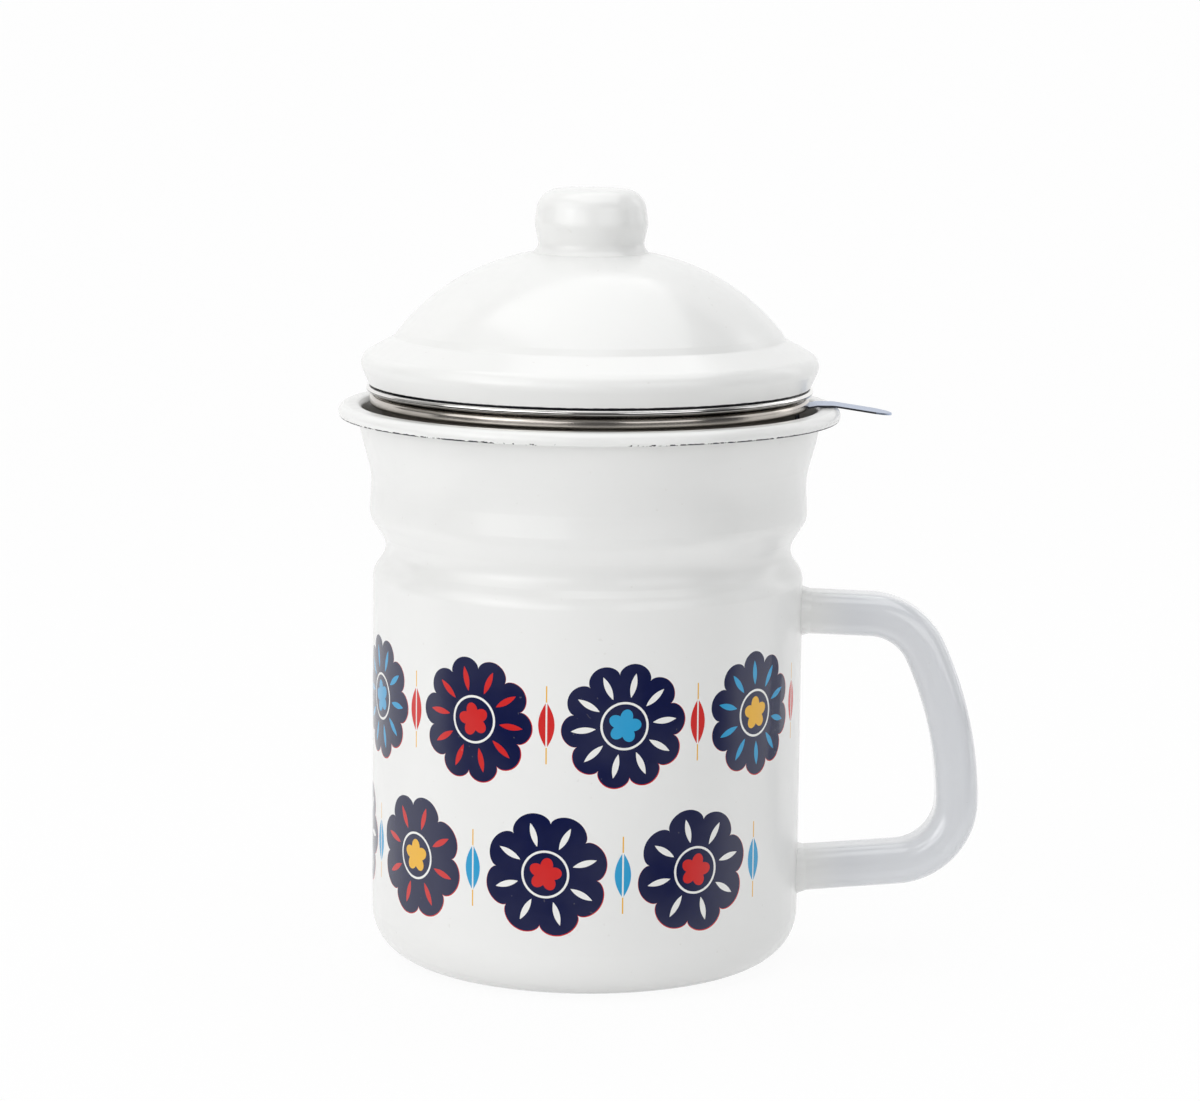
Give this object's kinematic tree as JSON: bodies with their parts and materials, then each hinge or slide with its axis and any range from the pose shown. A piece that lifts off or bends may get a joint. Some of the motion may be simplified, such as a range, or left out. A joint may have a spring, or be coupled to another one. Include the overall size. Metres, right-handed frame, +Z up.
{
  "type": "grease container",
  "caption": "Lidded enamelled steel pot with a side handle, a lift-out mesh strainer with a lifting tongue, a punched upper strainer and a domed lid with a knob, for keeping cooking fat.",
  "frame": {"origin": "centre of the pot's flat base, in the plane it stands on", "axes": "+Z up along the pot's axis, +X towards the handle, +Y away from the viewer"},
  "size_m": [0.1616, 0.125, 0.1933],
  "materials": {
    "printed_enamel": "glossy warm white vitreous enamel, with a fired-on printed pattern on the lower wall",
    "plain_enamel": "glossy warm white vitreous enamel",
    "rolled_steel": "satin stainless steel, turned round the axis",
    "woven_steel": "fine woven stainless steel wire cloth",
    "tab_steel": "satin stainless steel",
    "pressed_steel": "pressed and punched satin stainless steel"
  },
  "bodies": {
    "pot": {"pot_body": "printed_enamel", "handle": "plain_enamel"},
    "mesh_strainer": {"mesh_rim": "rolled_steel", "mesh_bowl": "woven_steel", "mesh_clamp_ring": "rolled_steel", "strainer_tab": "tab_steel"},
    "punched_strainer": {"punched_cup": "pressed_steel"},
    "lid": {"lid_shell": "plain_enamel", "lid_knob": "plain_enamel"}
  },
  "joints": [
    {"name": "mesh_strainer_lift", "type": "slide", "parent": "pot", "child": "mesh_strainer", "axis": [0, 0, 1], "range_m": [0, 0.08]},
    {"name": "punched_strainer_lift", "type": "slide", "parent": "mesh_strainer", "child": "punched_strainer", "axis": [0, 0, 1], "range_m": [0, 0.06]},
    {"name": "lid_lift", "type": "slide", "parent": "punched_strainer", "child": "lid", "axis": [0, 0, 1], "range_m": [0, 0.05]}
  ]
}
